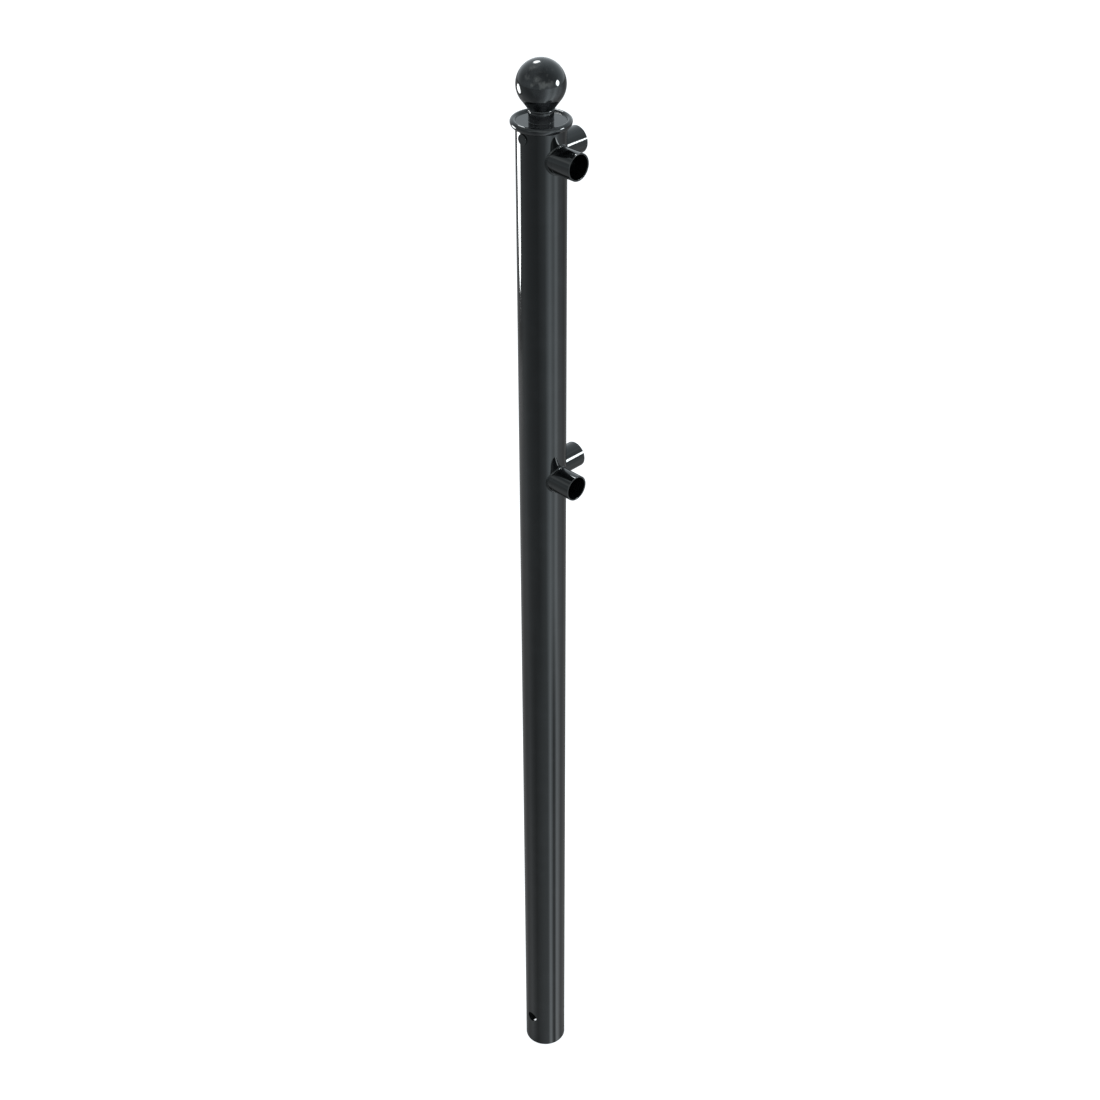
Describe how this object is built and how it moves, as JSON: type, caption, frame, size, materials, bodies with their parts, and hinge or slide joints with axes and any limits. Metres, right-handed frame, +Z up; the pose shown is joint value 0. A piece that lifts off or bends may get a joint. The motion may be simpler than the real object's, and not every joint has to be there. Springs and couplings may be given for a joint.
{
  "type": "railing corner post",
  "caption": "Round steel railing corner post with stub spigots for rails on adjacent sides and a ball finial on a flanged cap, its foot set in concrete.",
  "frame": {"origin": "centre of the foot's end face, on the post's axis", "axes": "+Z up the post to the ball, +X along one pair of rail spigots, +Y along the other pair"},
  "size_m": [0.0965, 0.0965, 1.5965],
  "materials": {
    "post_paint": "gloss black powder coat over steel tube",
    "weld_paint": "gloss black powder coat over a fillet weld",
    "cap_paint": "high-gloss black powder coat over turned steel"
  },
  "bodies": {
    "root": {"post_tube": "post_paint", "upper_spigot_x": "post_paint", "upper_spigot_y": "post_paint", "lower_spigot_x": "post_paint", "lower_spigot_y": "post_paint", "upper_weld_x": "weld_paint", "upper_weld_y": "weld_paint", "lower_weld_x": "weld_paint", "lower_weld_y": "weld_paint", "cap_flange": "cap_paint", "cap_pin": "cap_paint", "neck": "cap_paint", "neck_bead": "cap_paint", "ball": "cap_paint"}
  },
  "joints": []
}
